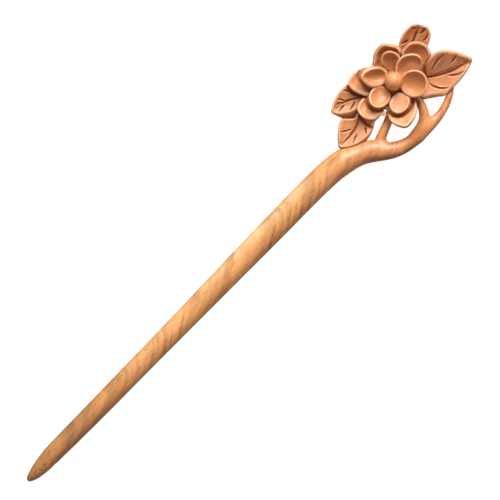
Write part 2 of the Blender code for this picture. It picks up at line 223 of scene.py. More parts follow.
def loft_faces(rows, sides):
    """Quads between rings of vertices, and fans at a first and a last single vertex."""
    faces = []
    for j in range(sides):
        k = (j + 1) % sides
        faces.append((0, 1 + j, 1 + k))
        for i in range(rows - 1):
            a = 1 + i * sides
            b = a + sides
            faces.append((a + j, b + j, b + k, a + k))
        last = 1 + (rows - 1) * sides
        faces.append((last + j, last + sides, last + k))
    return faces


CLEFT_WIDTH, CLEFT_DEPTH = 0.65, 0.8
LIP_SIDE = np.array([-0.45, -0.89])  # the side of a groove its lip stands on
LIP_HEIGHT = 0.12
SKIRT_FALL = 0.8  # how far the foot of a spreading wall goes down, per mm it stands out
CREST_AT, CREST_WIDTH = 0.5, 0.62  # where the painted highlight along a rim's crest runs and how wide it is, in roundings


def groove(xy, line, width, depth):
    """How far below each point a tapering groove along a line goes."""
    gap, run = distance_to_path(xy, line)
    taper = 0.25 + 0.75 * np.sin(np.clip(run, 0.02, 0.98) * math.pi) ** 0.6
    return depth * taper * np.clip(1 - gap / (width * taper), 0, 1) ** 0.8


def groove_lip(xy, line, width):
    """How near each point is, 0 to 1, to the raised lip on the far side of a groove."""
    gap, run = distance_to_path(xy, line)
    middle = line[len(line) // 2]
    side = (xy - middle) @ LIP_SIDE
    taper = np.sin(np.clip(run, 0.02, 0.98) * math.pi) ** 0.6
    near = np.exp(-(((gap - width * 1.15) / 0.22) ** 2))
    return near * taper * (side > -0.25 * width)


def clefts_below(xy, clefts):
    """Depth of the wide grooves carved beside a neighbouring element."""
    cut = np.zeros(len(xy))
    for line in clefts:
        gap, run = distance_to_path(xy, line)
        ends = smooth_step(0, 0.12, run) * smooth_step(0, 0.12, 1 - run)
        cut = np.maximum(cut, CLEFT_DEPTH * ends * (1 - smooth_step(0.15, CLEFT_WIDTH, gap)))
    return cut


def spread_of(foot, bearing):
    """How far a spreading wall stands out at each bearing from the pole, in radians."""
    toward, spread, reach = foot
    turn = (np.degrees(bearing) - toward + 180) % 360 - 180
    return reach * np.exp(-((turn / spread) ** 2))


def no_lips(xy):
    return np.zeros(len(xy))


def relief(
    name, outline, pole, face, back, round_face, round_back, cut, lips=no_lips, foot=None, even=0,
    sides=150, rings=56, wall_rows=4,
):  # fmt: skip
    """A carved element: a face and a back inside an outline, with a rounded edge between them.

    face(xy, inset) and back(xy, inset) give heights, where inset is the distance from the outline.
    round_face and round_back are each the width and the drop of the rounding along the outline.
    cut(xy) gives how far the face's grooves go down, with a petal's painted bowl shade, and so how strongly a
    painted shade darkens them; lips(xy) gives how strongly a painted highlight makes the lips beside them pale.
    foot is where the foot of the wall stands out past the outline: the bearing, how wide and how far.
    even is how many points on either side even out the bowl.
    """
    rim = even_closed(catmull(outline, True, 12), sides)
    pole = np.asarray(pole, float)
    reach = rim - pole
    closed_rim = np.vstack([rim, rim[:1]])
    shares = 1 - (1 - np.linspace(0, 1, rings)[1:]) ** 1.7
    out = np.arctan2(reach[:, 1], reach[:, 0])
    stands_out = spread_of(foot, out) if foot else np.zeros(sides)
    unit = reach / np.linalg.norm(reach, axis=1)[:, None]

    def height(plan, side, sign):
        inset, _ = distance_to_path(plan, closed_rim)
        if even and len(plan) > 1:
            level = side(plan, inset)
            around = [np.roll(level, k) for k in range(-even, even + 1)]
            inner = smooth_step(round_face[0], round_face[0] + 0.5, inset)
            level = np.mean(around, axis=0) * inner + level * (1 - inner)
        else:
            level = side(plan, inset)
        width, drop = round_face if sign > 0 else round_back
        short = np.clip(1 - inset / width, 0, 1)
        return level - sign * drop * (1 - np.sqrt(1 - short**2))

    def ring_points(share, side, sign, push):
        plan = pole + share * reach + unit * (push * share**3)[:, None]
        inside = pole + share * reach
        level = height(inside, side, sign) - SKIRT_FALL * push * share**3
        return np.column_stack([plan, level])

    def face_marks(share):
        inside = pole + share * reach
        inset, _ = distance_to_path(inside, closed_rim)
        # the crest of the rim is painted pale, a painted highlight
        crest = np.exp(-(((inset - CREST_AT * round_face[0]) / (CREST_WIDTH * round_face[0])) ** 2))
        uneven = np.clip(0.7 + 0.3 * ripple(inside, 2.6, sides) + 0.35 * ripple(inside, 8.0, inside[0, 0]), 0.4, 1)
        # the cuts are darkened in colour, a painted shade
        painted_shade = np.clip(cut(inside) / 0.6, 0, 1)
        return np.maximum(crest * uneven * (1 - painted_shade), lips(inside)), painted_shade

    middle = pole[None]
    rows = [ring_points(share, face, 1, stands_out * 0) for share in shares]
    under = [ring_points(share, back, -1, stands_out) for share in shares[::-1]]
    shown = [face_marks(share) for share in shares]
    top_edge, low_edge = rows[-1], under[0]
    for t in np.linspace(0, 1, wall_rows + 2)[1:-1]:
        rows.append(top_edge * (1 - t) + low_edge * t)
    rows += under
    points = np.vstack(
        [np.column_stack([middle, height(middle, face, 1)])]
        + rows
        + [np.column_stack([middle, height(middle, back, -1)])]
    )
    marks = {}
    for k, label in enumerate(("ridge_highlight", "painted_shade")):
        values = np.zeros(len(points))
        values[1 : 1 + sides * len(shown)] = np.concatenate([pair[k] for pair in shown])
        marks[label] = values
    return link_mesh(name, points, loft_faces(len(rows), sides), marks)


# ---------------------------------------------------------------- petals

# name: outline, pole, direction it grows in (degrees), height of the bowl, how much it climbs per mm,
# depth of the bowl, width of the rim, height of the wall, how open the bowl is at its inner end;
# some also have a painted shade in the bowl (centre and radius of the darkened hollow), clefts (lines of the cuts
# beside a neighbour) or a foot (where the wall's foot stands out, see relief)
UPPER_PETALS = {
    "petal_upper_1": dict(
        outline=[
            (70.4, 6.0), (69.6, 7.6), (69.7, 9.5), (70.7, 11.1), (72.4, 11.75), (74.1, 11.2),
            (75.2, 9.6), (75.4, 7.9), (74.4, 6.6), (72.4, 5.6),
        ],
        pole=(72.4, 8.6), grows=62, base=7.2, rise=0.46, depth=1.4, rim=0.6, wall=1.5, open_end=0.8,
        bowl_shade=(72.0, 9.0, 2.0),
    ),
    "petal_upper_2": dict(
        outline=[
            (70.7, 4.9), (72.4, 6.6), (74.1, 7.25), (76.0, 7.2), (78.0, 6.1), (79.4, 4.4), (79.4, 2.6),
            (78.2, 1.1), (76.3, 0.6), (74.4, 1.2), (72.4, 2.2), (70.8, 3.2),
        ],
        pole=(75.6, 4.1), grows=80, base=7.2, rise=0.28, depth=1.7, rim=0.6, wall=1.5, open_end=0.9,
        bowl_shade=(74.3, 4.9, 2.3),
    ),
    "petal_upper_3": dict(
        outline=[
            (71.2, 3.1), (73.3, 3.2), (75.2, 2.2), (76.4, 0.4), (76.6, -1.6), (75.6, -3.6),
            (73.8, -4.8), (71.6, -4.9), (69.6, -3.8), (68.5, -1.8), (68.6, 0.4), (69.6, 2.2),
        ],
        pole=(72.5, -0.9), grows=0, base=7.2, rise=0.2, depth=2.1, rim=0.55, wall=1.6, open_end=0.0,
    ),
    "petal_upper_4": dict(
        outline=[
            (66.0, 0.9), (67.6, 0.5), (68.6, -0.8), (68.8, -2.6), (67.6, -4.0), (65.6, -4.6),
            (63.6, -4.2), (62.4, -2.8), (62.4, -1.0), (63.4, 0.3), (64.6, 0.8),
        ],
        pole=(65.6, -1.9), grows=-118, base=7.8, rise=0.16, depth=0.3, rim=0.5, wall=1.8, open_end=0.9,
    ),
    "petal_upper_5": dict(
        outline=[
            (66.0, 3.6), (65.6, 5.3), (64.4, 6.4), (62.6, 6.7), (60.8, 6.1), (59.6, 4.8), (59.3, 3.1),
            (60.0, 1.6), (61.4, 0.7), (63.2, 0.5), (64.9, 1.1), (65.8, 2.2),
        ],
        pole=(62.7, 3.6), grows=180, base=7.2, rise=0.28, depth=1.3, rim=0.55, wall=1.6, open_end=0.3,
    ),
    "petal_upper_6": dict(
        outline=[
            (62.4, 9.4), (62.6, 11.2), (64.1, 12.2), (66.1, 11.85), (67.9, 10.9), (69.2, 9.5),
            (69.7, 8.0), (69.3, 6.6), (67.8, 5.4), (66.0, 5.2), (64.2, 6.0), (62.8, 7.6),
        ],
        pole=(66.2, 8.8), grows=118, base=7.2, rise=0.28, depth=2.1, rim=0.8, wall=1.6, open_end=0.4,
        bowl_shade=(67.6, 8.9, 2.1),
    ),
}
LOWER_PETALS = {
    "petal_lower_1": dict(
        outline=[
            (67.7, 11.5), (69.0, 12.6), (70.5, 13.75), (72.5, 14.25), (74.6, 14.0), (75.6, 12.95),
            (76.7, 11.4), (77.2, 10.0), (76.9, 8.4), (75.6, 7.0), (72.5, 6.4), (69.4, 7.6), (67.8, 9.6),
        ],
        pole=(72.6, 10.3), grows=70, base=5.4, rise=0.45, depth=1.7, rim=1.0, wall=1.7, open_end=0.5,
    ),
    "petal_lower_2": dict(
        outline=[
            (76.4, 8.1), (78.0, 8.6), (79.6, 8.6), (81.1, 8.0), (82.4, 6.7), (83.2, 4.9), (83.2, 3.4),
            (82.6, 1.9), (81.4, 0.9), (79.6, 0.5), (77.4, 0.8), (75.4, 2.6), (74.8, 5.6),
        ],
        pole=(78.8, 4.6), grows=60, base=5.4, rise=0.26, depth=1.5, rim=0.8, wall=1.7, open_end=0.5,
        bowl_shade=(79.6, 6.2, 2.2),
    ),
    "petal_lower_3": dict(
        outline=[
            (61.0, -1.5), (60.0, -3.0), (59.95, -4.6), (60.6, -6.4), (61.9, -8.1), (64.0, -8.3),
            (66.1, -7.8), (68.0, -6.75), (69.4, -4.8), (69.6, -2.0), (67.0, 0.8), (63.6, 1.2),
            (62.0, 0.6), (61.4, -0.5),
        ],
        pole=(64.6, -3.6), grows=-118, base=6.5, rise=0.3, depth=0.35, rim=0.7, wall=1.7, open_end=0.5,
        clefts=[[(61.5, -0.2), (61.6, -2.6), (62.8, -4.5), (65.2, -5.3), (67.9, -4.9), (69.5, -3.2), (69.9, -1.0)]],
        foot=(-124, 48, 0.4),
    ),
    "petal_lower_4": dict(
        outline=[
            (59.6, 6.6), (58.0, 6.8), (56.4, 6.3), (55.3, 5.4), (54.9, 3.9), (55.0, 2.4), (55.8, 1.0),
            (57.0, -0.1), (58.6, -0.3), (59.6, -1.05), (60.25, -1.95), (60.6, -1.0),
            (60.9, 0.1), (61.4, 0.1), (61.7, -0.9), (62.8, -1.2), (63.5, 0.9), (63.2, 3.6), (62.0, 5.8),
        ],
        pole=(58.9, 3.4), grows=180, base=6.7, rise=0.12, depth=0.4, rim=0.6, wall=1.7, open_end=0.5,
        clefts=[[(62.0, -0.2), (60.0, 0.7), (58.7, 2.4), (58.6, 4.4), (59.5, 6.0), (60.8, 7.2)]],
    ),
    "petal_lower_5": dict(
        outline=[
            (60.4, 6.3), (59.3, 8.0), (58.7, 9.7), (58.5, 11.3), (58.8, 12.8), (60.2, 13.7),
            (62.0, 14.1), (63.7, 13.75), (65.3, 13.0), (66.9, 12.25), (68.5, 11.2), (67.0, 7.6), (63.6, 5.8),
        ],
        pole=(62.9, 9.9), grows=135, base=6.6, rise=0.05, depth=0.45, rim=0.7, wall=1.7, open_end=0.5,
        clefts=[[(62.4, 5.6), (62.0, 7.8), (61.9, 10.0), (62.4, 12.0), (64.2, 13.0), (66.6, 12.6)]],
    ),
}  # fmt: skip
PETAL_THICK = 1.5
BOWL_SHADE_DEPTH = 0.36  # the painted shade in a bowl's hollow is as dark as that of a groove this far down


def petal(
    name, outline, pole, grows, base, rise, depth, rim, wall, open_end, phase,
    clefts=(), bowl_shade=None, foot=None,
):  # fmt: skip
    """A hollowed petal that climbs outwards, with a rim round its bowl."""
    direction = np.array([math.cos(math.radians(grows)), math.sin(math.radians(grows))])
    loop = even_closed(catmull(outline, True, 12), 200)
    loop = np.vstack([loop, loop[:1]])
    deepest = distance_to_path(np.array([pole]), loop)[0][0]
    cleft_lines = [catmull(line, False, 8) for line in clefts]

    def level(xy, inset):
        rel = xy - np.asarray(pole)
        along = rel @ direction
        across = rel @ np.array([-direction[1], direction[0]])
        rise_here = rise * along + 0.03 * along * np.abs(along)
        toward_rim = np.clip(1 - (inset - rim) / (deepest - rim), 0, 1)
        bearing = along / np.maximum(np.hypot(along, across), 0.01)
        rim_share = 1 - open_end * (1 - smooth_step(-0.95, 0.1, bearing))
        bowl = depth * rim_share * (0.6 * toward_rim**2 + 0.4 * toward_rim**4)
        return base + rise_here + bowl

    def face(xy, inset):
        return level(xy, inset) - clefts_below(xy, cleft_lines) + 0.08 * ripple(xy, 3.7, phase)

    def back(xy, inset):
        curl = smooth_step(0, deepest, inset)
        edge_level = level(xy, inset * 0)
        middle_level = level(xy, inset) - PETAL_THICK
        return (edge_level - wall) * (1 - curl) + middle_level * curl + 0.05 * ripple(xy, 4.3, phase + 2)

    def cut(xy):
        marked = clefts_below(xy, cleft_lines)
        # painted shade: the hollow of the bowl is darkened
        if bowl_shade:
            away = np.hypot(xy[:, 0] - bowl_shade[0], xy[:, 1] - bowl_shade[1]) / bowl_shade[2]
            marked = np.maximum(marked, BOWL_SHADE_DEPTH * np.exp(-(away**2)))
        return marked

    return relief(name, outline, pole, face, back, (rim, rim * 0.75), (0.5, 0.5), cut, foot=foot, even=5)


# ---------------------------------------------------------------- leaves

VEIN_WIDTH, FINE_VEIN, VEIN_DEPTH = 0.46, 0.38, 0.65
MIDRIB_WIDTH, MIDRIB_DEPTH = 0.5, 0.75
GUTTER = 1.1  # how far from the midrib a leaf stays flat before it curls up

# name: outline, pole, direction it grows in (degrees), height, how much it climbs per mm, how much each
# half climbs per mm from the midrib, curl of the blade, width of the rim, thickness, midrib, veins;
# some also have clefts and a foot, as the petals do, or finer veins
LEAVES = {
    "leaf_right": dict(
        outline=[
            (74.2, -0.4), (75.2, 1.2), (77.0, 1.7), (79.0, 1.5), (81.0, 1.5), (82.3, 1.5), (83.6, 1.2),
            (85.1, 0.5), (86.2, -0.4), (87.1, -1.7), (88.1, -3.2), (89.1, -5.1), (89.85, -6.9),
            (90.0, -7.6), (89.4, -8.4), (87.3, -9.25), (85.0, -9.7), (83.0, -9.95), (80.8, -10.0),
            (79.0, -9.85), (76.6, -9.75), (75.0, -8.3), (73.0, -6.8), (71.4, -5.7), (71.2, -3.0),
        ],
        pole=(80.2, -4.2), grows=-24, base=3.9, rise=0.10, folds=(0.52, -0.08), hollow=0.9, rim=1.0, thick=1.9,
        midrib=[(74.0, -0.6), (76.6, -2.3), (80.0, -4.6), (83.9, -6.5), (86.0, -7.0), (88.0, -7.5)],
        veins=[
            [(79.1, -1.8), (80.4, -1.35), (81.8, -1.05), (83.2, -0.95), (84.8, -1.25)],
            [(84.2, -4.3), (85.8, -4.2), (87.5, -3.8)],
            [(75.9, -4.1), (76.1, -5.4), (77.0, -7.2), (78.7, -8.9)],
            [(81.4, -6.1), (82.3, -7.2), (83.7, -8.2), (85.6, -8.8)],
        ],
        clefts=[[(75.8, -3.4), (76.8, -1.2), (78.3, 0.5), (80.4, 1.4), (82.6, 2.1)]],
        foot=(-160, 30, 0.5),
    ),
    "leaf_top": dict(
        outline=[
            (75.6, 6.6), (76.2, 8.8), (77.7, 10.4), (79.1, 11.2), (80.5, 11.75), (82.2, 12.0),
            (84.0, 11.85), (85.4, 11.2), (86.35, 9.9), (87.35, 8.2), (87.1, 6.8), (86.3, 5.6),
            (84.9, 4.65), (83.2, 4.0), (80.6, 3.8), (77.6, 4.4),
        ],
        pole=(82.0, 8.2), grows=20, base=4.4, rise=0.42, folds=(0.1, 0.05), hollow=1.2, rim=0.65, thick=1.7,
        midrib=[(78.5, 7.0), (81.2, 8.1), (83.0, 8.8), (84.6, 9.4), (86.2, 10.0)],
        veins=[
            [(84.3, 8.2), (85.4, 8.0), (86.6, 8.1)],
            [(83.4, 6.1), (84.7, 6.0), (86.0, 6.5)],
            [(83.6, 11.1), (84.1, 10.7), (84.5, 10.2)],
            [(78.2, 10.2), (79.4, 9.6), (80.6, 9.3)],
        ],
    ),
    "leaf_left": dict(
        outline=[
            (62.0, 8.6), (60.6, 11.6), (59.0, 12.8), (57.6, 13.2), (56.0, 13.2), (54.0, 12.85),
            (52.0, 12.25), (50.5, 11.4), (49.55, 10.5), (49.9, 9.4), (50.6, 8.4), (51.7, 7.5),
            (52.9, 6.7), (54.1, 6.1), (55.5, 5.6), (57.4, 5.0), (60.4, 4.8),
        ],
        pole=(55.8, 9.5), grows=163, base=4.9, rise=0.08, folds=(0.22, -0.05), hollow=0.5, rim=0.6, thick=1.8,
        midrib=[(51.2, 10.35), (53.6, 10.1), (55.6, 9.3), (57.5, 8.3), (59.4, 7.4)],
        veins=[
            [(53.6, 12.0), (54.1, 11.2), (54.8, 10.2)],
            [(56.6, 12.6), (57.2, 11.7), (57.9, 10.5)],
            [(51.8, 11.0), (52.8, 10.8), (53.9, 10.4)],
            [(51.2, 9.1), (52.5, 9.2), (53.9, 9.4)],
            [(53.7, 7.1), (55.2, 7.3), (56.9, 7.9)],
        ],
        clefts=[[(59.4, 13.6), (58.3, 12.0), (58.1, 10.2), (58.7, 8.4), (60.0, 6.4), (61.0, 5.0)]],
        foot=(-130, 33, 2.1), vein=FINE_VEIN,
    ),
    "leaf_bottom": dict(
        outline=[
            (61.0, 3.4), (57.5, 5.6), (55.6, 5.1), (54.3, 4.55), (53.2, 4.6), (51.7, 5.8), (50.6, 6.9), (49.6, 6.95),
            (48.05, 6.05), (46.2, 4.55), (44.9, 2.95), (44.05, 1.75), (44.45, 0.8), (45.7, -0.3),
            (47.3, -1.1), (49.1, -1.7), (51.0, -2.0), (52.9, -1.95), (54.8, -1.4), (56.5, -0.55),
            (58.6, -0.5), (61.0, 0.4),
        ],
        pole=(50.2, 2.3), grows=184, base=5.0, rise=0.04, folds=(0.2, 0.05), hollow=0.5, rim=0.6, thick=1.9,
        midrib=[(44.9, 1.75), (46.5, 1.7), (48.5, 1.7), (50.3, 1.95), (52.4, 2.6), (54.4, 3.6)],
        veins=[
            [(47.3, 4.4), (48.5, 3.6), (50.1, 2.9)],
            [(47.4, -0.4), (48.8, 0.1), (50.3, 0.7)],
            [(52.2, -1.3), (52.9, -0.4), (53.8, 0.4)],
        ],
        clefts=[
            [
                (49.6, 7.9), (50.9, 6.9), (52.0, 5.8), (53.2, 4.8), (54.6, 4.6), (54.5, 3.0),
                (54.4, 1.0), (54.6, -0.8), (55.2, -2.4),
            ],
        ],
        foot=(-112, 62, 0.95), vein=FINE_VEIN,
    ),
}  # fmt: skip


def leaf(
    name, outline, pole, grows, base, rise, folds, hollow, rim, thick, midrib, veins, phase,
    clefts=(), foot=None, vein=VEIN_WIDTH,
):  # fmt: skip
    """A leaf folded along its midrib, with a raised rim and veins cut as grooves."""
    direction = np.array([math.cos(math.radians(grows)), math.sin(math.radians(grows))])
    chord = np.array([midrib[0], midrib[-1]])
    run = chord[1] - chord[0]
    midrib_line = catmull(midrib, False, 8)
    vein_lines = [catmull(vein, False, 8) for vein in veins]
    cleft_lines = [catmull(line, False, 8) for line in clefts]
    loop = even_closed(catmull(outline, True, 12), 200)
    loop = np.vstack([loop, loop[:1]])

    def level(xy, inset):
        along = (xy - np.asarray(pole)) @ direction
        from_midrib, _ = distance_to_path(xy, midrib_line)
        side = np.sign((xy[:, 1] - chord[0][1]) * run[0] - (xy[:, 0] - chord[0][0]) * run[1])
        slope = np.where(side > 0, folds[0], folds[1])
        blade = from_midrib / (from_midrib + np.maximum(inset - rim, 0) + 0.05)
        gutter = smooth_step(0, GUTTER, from_midrib)
        return base + rise * along + slope * from_midrib + hollow * gutter * blade**2

    def cut(xy):
        midrib_cut = groove(xy, midrib_line, MIDRIB_WIDTH, MIDRIB_DEPTH)
        depth = np.maximum(midrib_cut, clefts_below(xy, cleft_lines))
        for line in vein_lines:
            depth = np.maximum(depth, groove(xy, line, vein, VEIN_DEPTH))
        return depth

    # the raised lips beside the grooves, which the wood also paints pale as a painted highlight
    def lips(xy):
        return np.max([groove_lip(xy, line, vein) for line in vein_lines + [midrib_line]], axis=0)

    def face(xy, inset):
        return level(xy, inset) - cut(xy) + LIP_HEIGHT * lips(xy) + 0.05 * ripple(xy, 4.1, phase)

    def back(xy, inset):
        return level(xy, inset) - thick + 0.35 * smooth_step(2.5, 0, inset) + 0.05 * ripple(xy, 5.3, phase + 1)

    edges = (rim, rim * 0.7), (0.5, 0.5)
    return relief(name, outline, pole, face, back, *edges, cut, lips, foot, sides=260, rings=110)


# ---------------------------------------------------------------- boss and receptacle

FLOWER = np.array([68.9, 3.85])
BOSS_R, BOSS_Z = 2.75, 8.7


def turned(name, profile, sides, uneven, phase):
    """A turned form about the flower's axis from radius and height pairs, a little uneven."""
    curve = catmull(profile, False, 6)
    top, bottom = curve[0], curve[-1]
    angles = np.arange(sides) / sides * 2 * math.pi
    ring = np.column_stack([np.cos(angles), np.sin(angles)])
    rows = []
    for radius, height in curve[1:-1]:
        xy = FLOWER + ring * radius
        swell = 1 + uneven * ripple(np.column_stack([xy[:, 0], xy[:, 1] + height]), 5.0, phase)
        rows.append(np.column_stack([FLOWER + ring * radius * swell[:, None], np.full(sides, height)]))
    points = np.vstack([[[*FLOWER, top[1]]]] + rows + [[[*FLOWER, bottom[1]]]])
    return link_mesh(name, points, loft_faces(len(rows), sides))


ball = [
    (BOSS_R * math.sin(a), BOSS_Z + BOSS_R * math.cos(a)) for a in np.linspace(0, math.pi * 0.93, 14)
] + [(0.0, BOSS_Z - BOSS_R * 0.98)]
core = [
    (0.0, 7.4), (2.4, 7.3), (2.9, 6.6), (3.5, 5.8), (5.6, 5.1), (6.6, 4.2), (6.5, 3.0), (5.9, 1.6),
    (5.2, 0.6), (4.7, 0.06), (4.2, 0.0), (2.0, 0.0), (0.0, 0.0),
]  # fmt: skip


# ---------------------------------------------------------------- stem and twigs

# x, y, radius, height of the underside
STEM = [
    (-90.1, -1.95, 0.25, 1.70), (-89.85, -1.95, 0.70, 1.20), (-89.0, -1.97, 1.20, 0.90),
    (-87.0, -1.98, 1.86, 0.55), (-84.0, -1.88, 2.38, 0.25), (-81.0, -1.72, 2.62, 0.08),
    (-78.0, -1.70, 2.78, 0.0), (-60.0, -1.74, 3.00, 0.0), (-46.0, -1.65, 3.08, 0.0),
    (-31.0, -1.60, 3.18, 0.0), (-16.0, -1.50, 3.38, 0.0), (-1.7, -1.38, 3.58, 0.0),
    (13.0, -1.30, 3.76, 0.0), (27.7, -1.26, 3.80, 0.0), (36.6, -1.50, 3.85, 0.0),
    (41.0, -2.10, 3.85, 0.0), (44.6, -3.25, 3.50, 0.0), (48.0, -5.05, 3.05, 0.15),
    (51.0, -7.45, 2.85, 0.35), (53.8, -9.80, 2.50, 0.7), (56.8, -11.45, 2.18, 1.1),
    (60.0, -12.32, 2.00, 1.3), (63.0, -12.45, 2.04, 1.3), (66.5, -12.50, 2.00, 1.3),
    (69.0, -12.78, 1.58, 1.3), (72.0, -12.64, 1.23, 1.3), (75.0, -11.93, 1.11, 1.2),
    (77.4, -10.87, 1.0, 1.2), (79.2, -9.87, 0.78, 1.3), (80.8, -8.85, 0.62, 1.7),
    (81.8, -8.0, 0.42, 2.2), (82.3, -7.6, 0.12, 2.6),
]  # fmt: skip
LEFT_TWIG = [
    (48.6, -4.9, 2.7, 0.8), (50.4, -5.7, 2.5, 1.0), (52.3, -6.4, 1.85, 1.4),
    (54.6, -5.14, 1.52, 1.9), (57.4, -4.04, 1.32, 2.2), (60.2, -2.9, 1.28, 2.2),
    (62.4, -1.30, 1.15, 2.1), (64.6, 0.4, 1.3, 1.8), (66.5, 2.0, 1.5, 1.5),
]  # fmt: skip
MIDDLE_TWIG = [
    (62.6, -12.40, 1.6, 1.7), (65.6, -11.45, 1.65, 2.0), (68.12, -9.6, 1.48, 2.6), (69.5, -7.35, 1.36, 2.6),
    (69.95, -5.1, 1.35, 2.1), (69.8, -3.0, 1.4, 2.2), (69.4, -0.5, 1.5, 1.8),
]  # fmt: skip
STEM_VOXEL = 0.3
CROTCH = 1.6  # how far the wood fills in where two limbs meet
TWIGS_FROM = 40  # the x past which the twigs shape the skin
SHAFT_ROUTE = 46  # the part of the stem's route, up to this x, that the straight shaft needs
SETTLE = 3  # how often the skin's points are moved onto the blended limbs
SLOPE_STEP = 0.02  # mm between the two samples that give the field's slope
LOWER_SHADE = 1.25  # how dark the painted shade on the lower side of the bend is
TUCKED_SHADE = 1.5  # how dark the painted shade on the middle twig is where it goes under the flower


def limb_route(limb, per_span):
    route = catmull(limb, False, per_span)
    x, y, radius, underside = route.T
    return np.column_stack([x, y, underside + radius, radius])


def limb_tube(bm, route, sides=28):
    """Adds a closed round tube along a route of x, y, z and radius to a bmesh."""
    centres = route[:, :3]
    ahead = np.gradient(centres, axis=0)
    ahead /= np.linalg.norm(ahead, axis=1)[:, None]
    side = np.cross(ahead, [0, 0, 1.0])
    side /= np.linalg.norm(side, axis=1)[:, None]
    up = np.cross(side, ahead)
    rings = []
    for centre, radius, s, u in zip(centres, route[:, 3], side, up):
        ring = []
        for k in range(sides):
            a = 2 * math.pi * k / sides
            ring.append(bm.verts.new((centre + radius * (math.cos(a) * s + math.sin(a) * u)) * MM))
        rings.append(ring)
    for first, second in zip(rings, rings[1:]):
        for k in range(sides):
            m = (k + 1) % sides
            bm.faces.new((first[k], first[m], second[m], second[k]))
    bm.faces.new(rings[0][::-1])
    bm.faces.new(rings[-1])


def limb_distance(points, route):
    """Signed distance from points to the surface of a round limb along a route."""
    best = np.full(len(points), 1e9)
    start, end = route[:-1], route[1:]
    for a, b in zip(start, end):
        step = b[:3] - a[:3]
        t = np.clip((points - a[:3]) @ step / (step @ step), 0, 1)
        gap = np.linalg.norm(points - (a[:3] + t[:, None] * step), axis=1) - (a[3] + t * (b[3] - a[3]))
        best = np.minimum(best, gap)
    return best


def blend_min(a, b, size):
    h = np.clip(0.5 + 0.5 * (b - a) / size, 0, 1)
    return b * (1 - h) + a * h - size * h * (1 - h)


def make_stem():
    """Shaft, branch and twigs as one skin with soft crotches."""
    routes = [limb_route(limb, 6) for limb in (STEM, LEFT_TWIG, MIDDLE_TWIG)]
    bm = bmesh.new()
    for route in routes:
        limb_tube(bm, route)
    bmesh.ops.recalc_face_normals(bm, faces=bm.faces)
    mesh = bpy.data.meshes.new("stem_rough")
    bm.to_mesh(mesh)
    bm.free()
    rough = bpy.data.objects.new("stem_rough", mesh)
    bpy.context.scene.collection.objects.link(rough)
    remesh = rough.modifiers.new("remesh", "REMESH")
    remesh.mode = "VOXEL"
    remesh.voxel_size = STEM_VOXEL * MM
    graph = bpy.context.evaluated_depsgraph_get()
    skin = bpy.data.meshes.new_from_object(rough.evaluated_get(graph))
    bpy.data.objects.remove(rough)
    count = len(skin.vertices)
    points = np.empty(count * 3)
    skin.vertices.foreach_get("co", points)
    points = points.reshape(-1, 3) / MM
    bend = points[:, 0] > TWIGS_FROM

    def field(p, head):
        """Signed distance to the blended limbs; the straight shaft needs only the stem's route."""
        value = limb_distance(p, routes[0] if head else routes[0][routes[0][:, 0] < SHAFT_ROUTE])
        if head:
            for route in routes[1:]:
                value = blend_min(value, limb_distance(p, route), CROTCH)
        return value

    for head in (False, True):
        chosen = bend if head else ~bend
        p = points[chosen]
        for _ in range(SETTLE):
            value = field(p, head)
            ahead = [field(p + SLOPE_STEP * axis, head) for axis in np.eye(3)]
            slope = np.column_stack([level - value for level in ahead]) / SLOPE_STEP
            size = np.maximum((slope**2).sum(axis=1), 0.05)
            p = p - (value / size)[:, None] * slope
        points[chosen] = p
    skin.vertices.foreach_set("co", (points * MM).ravel())
    skin.update()
    skin.shade_smooth()
    normals = np.empty(count * 3)
    skin.vertices.foreach_get("normal", normals)
    # painted shade: the lower side of the bend and the middle twig's end under the flower are marked for darkening
    lower = smooth_step(0.3, 0.85, -normals.reshape(-1, 3) @ np.array(PICTURE_UP))
    x, y, _ = points.T
    bend_share = smooth_step(42, 50, x) * (1 - smooth_step(60, 72, x))
    tucked = TUCKED_SHADE * smooth_step(-7.4, -5.2, y) * smooth_step(65, 67, x)
    painted_shade = np.maximum(LOWER_SHADE * lower * bend_share, tucked)
    skin.attributes.new("painted_shade", "FLOAT", "POINT").data.foreach_set("value", painted_shade)
    stem = bpy.data.objects.new("stem_carved", skin)
    bpy.context.scene.collection.objects.link(stem)
    return stem


# ---------------------------------------------------------------- wood

LENGTH = 180.0  # how long the pin is, for places given as a share of it
RING_LEAN = (1.0, -1.75, -0.9)  # the growth layers lie across this direction
RING_WARP = 16.0  # how far in mm the growth layers wander
RING_PITCH = 0.17  # how closely the growth layers follow one another
# how much each kind of mark darkens the wood
FIBRE_SHARE, CLOUD_SHARE, PORE_SHARE = 0.55, 0.5, 0.28
HIGHLIGHT_SHARE, PAINTED_SHADE_SHARE = 0.75, 0.52  # how far the painted highlight on rims and lips goes to its colour, and the painted shade of cuts and marked places to the crevice colour
CREVICE_SHADE_REACH = 0.0022  # metres within which a neighbouring surface darkens the wood's colour, a painted shade
# the colour of the painted shade in hollows, in cuts and on the other places a piece marks
CREVICE_SHADE = (0.15, 0.024, 0.003)
# the colour of the painted shade on the shaft's -Y side, which faces away from the key light
SHADED_SIDE_TINT = (0.68, 0.25, 0.08)
# the colour of the painted highlight on the shaft's +Y side, towards the key light
LIT_SIDE_TINT = (0.82, 0.51, 0.24)
BAND_SLANT = 1.4  # mm a dark growth band runs along the shaft for each mm it climbs
BAND_LEAD = 1.5  # a band fades in over this many times its width
BAND_WANDER = 3.0  # how far in mm a band wanders
FIRST_BANDS = 7  # a colour ramp holds 32 stops and a band needs three, so two ramps share the bands
